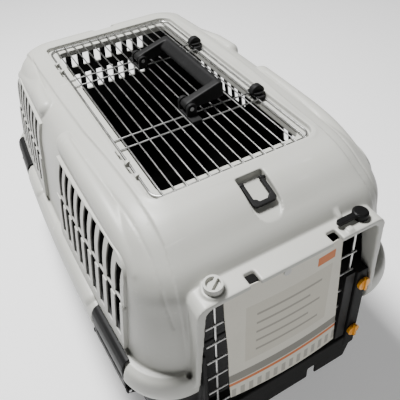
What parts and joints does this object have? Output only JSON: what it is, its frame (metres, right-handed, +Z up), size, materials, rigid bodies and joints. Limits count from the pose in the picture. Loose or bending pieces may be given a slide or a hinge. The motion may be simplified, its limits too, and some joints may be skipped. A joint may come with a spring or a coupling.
{
  "type": "pet carrier",
  "caption": "Plastic pet carrier: light shell over a dark tray, wire roof hatch with folding handle, wire front door with turn locks, side latches and lifting bails.",
  "frame": {"origin": "middle of the footprint on the ground", "axes": "+Z up, the front door faces -Y, +X to the right seen from the front"},
  "size_m": [0.406, 0.6045, 0.4199],
  "materials": {
    "shell_grey": "fine moulded grain",
    "tray_black": "fine moulded grain",
    "foot_rubber": "matte",
    "pin_steel": "drawn",
    "bright_wire": "bright plated wire",
    "fitting_black": "satin",
    "card_paper": "coated card",
    "toggle_plastic": "satin",
    "lock_orange": "semi gloss"
  },
  "bodies": {
    "base": {"lower_tray": "tray_black", "upper_shell": "shell_grey", "tray_feet": "foot_rubber", "latch_pins": "pin_steel"},
    "roof_door": {"roof_frame": "bright_wire", "roof_bars": "bright_wire", "roof_cross_wires": "bright_wire", "handle_foot_front": "fitting_black", "handle_foot_rear": "fitting_black", "handle_pins": "pin_steel", "lock_seat_front": "fitting_black", "lock_seat_rear": "fitting_black"},
    "handle": {"carry_handle": "fitting_black"},
    "roof_lock_front": {"roof_lock_front": "fitting_black"},
    "roof_lock_rear": {"roof_lock_rear": "fitting_black"},
    "front_door": {"door_hinge_rod": "bright_wire", "door_lock_rod": "bright_wire", "door_uprights": "bright_wire", "door_levels": "bright_wire", "door_loop": "bright_wire", "door_stile": "fitting_black", "insert_card": "card_paper", "card_toggle": "toggle_plastic"},
    "hinge_cap": {"hinge_cap": "shell_grey"},
    "door_lever": {"door_lever": "fitting_black"},
    "twist_lock_upper": {"twist_lock_upper": "lock_orange"},
    "twist_lock_lower": {"twist_lock_lower": "lock_orange"},
    "latch_front_left": {"latch_front_left": "fitting_black"},
    "latch_front_right": {"latch_front_right": "fitting_black"},
    "latch_rear_left": {"latch_rear_left": "fitting_black"},
    "latch_rear_right": {"latch_rear_right": "fitting_black"},
    "bail_front": {"bail_front": "fitting_black"},
    "bail_rear": {"bail_rear": "fitting_black"}
  },
  "joints": [
    {"name": "roof_door_hinge", "type": "hinge", "parent": "base", "child": "roof_door", "pos_m": [-0.107, 0.015, 0.3819], "axis": [0, -1, 0], "range_deg": [0, 115]},
    {"name": "handle_fold", "type": "hinge", "parent": "roof_door", "child": "handle", "pos_m": [0, 0.0106, 0.3985], "axis": [0, -1, 0], "range_deg": [0, 136]},
    {"name": "roof_lock_front_turn", "type": "hinge", "parent": "roof_door", "child": "roof_lock_front", "pos_m": [0.10135, -0.0765, 0.39], "axis": [0, 0, -1], "range_deg": [0, 90]},
    {"name": "roof_lock_rear_turn", "type": "hinge", "parent": "roof_door", "child": "roof_lock_rear", "pos_m": [0.10135, 0.0977, 0.39], "axis": [0, 0, -1], "range_deg": [0, 90]},
    {"name": "front_door_hinge", "type": "hinge", "parent": "base", "child": "front_door", "pos_m": [-0.095, -0.2875, 0.22], "axis": [0, 0, -1], "range_deg": [0, 105]},
    {"name": "hinge_cap_turn", "type": "hinge", "parent": "base", "child": "hinge_cap", "pos_m": [-0.095, -0.2875, 0.342], "axis": [0, 0, 1], "range_deg": [0, 90]},
    {"name": "door_lever_turn", "type": "hinge", "parent": "base", "child": "door_lever", "pos_m": [0.096, -0.2875, 0.342], "axis": [0, 0, 1], "range_deg": [0, 90]},
    {"name": "twist_lock_upper_turn", "type": "hinge", "parent": "base", "child": "twist_lock_upper", "pos_m": [0.1105, -0.2975, 0.223], "axis": [0, -1, 0], "range_deg": [0, 90]},
    {"name": "twist_lock_lower_turn", "type": "hinge", "parent": "base", "child": "twist_lock_lower", "pos_m": [0.109, -0.2975, 0.127], "axis": [0, -1, 0], "range_deg": [0, 90]},
    {"name": "latch_front_left_swing", "type": "hinge", "parent": "base", "child": "latch_front_left", "pos_m": [-0.1925, -0.2015, 0.171], "axis": [0.0593, -0.9982, 0], "range_deg": [0, 105]},
    {"name": "latch_front_right_swing", "type": "hinge", "parent": "base", "child": "latch_front_right", "pos_m": [0.1925, -0.2015, 0.171], "axis": [0.0593, 0.9982, 0], "range_deg": [0, 105]},
    {"name": "latch_rear_left_swing", "type": "hinge", "parent": "base", "child": "latch_rear_left", "pos_m": [-0.1925, 0.2015, 0.171], "axis": [-0.0593, -0.9982, 0], "range_deg": [0, 105]},
    {"name": "latch_rear_right_swing", "type": "hinge", "parent": "base", "child": "latch_rear_right", "pos_m": [0.1925, 0.2015, 0.171], "axis": [-0.0593, 0.9982, 0], "range_deg": [0, 105]},
    {"name": "bail_front_lift", "type": "hinge", "parent": "base", "child": "bail_front", "pos_m": [0, -0.2135, 0.378], "axis": [-1, 0, 0], "range_deg": [0, 100]},
    {"name": "bail_rear_lift", "type": "hinge", "parent": "base", "child": "bail_rear", "pos_m": [0, 0.248, 0.378], "axis": [1, 0, 0], "range_deg": [0, 100]}
  ]
}
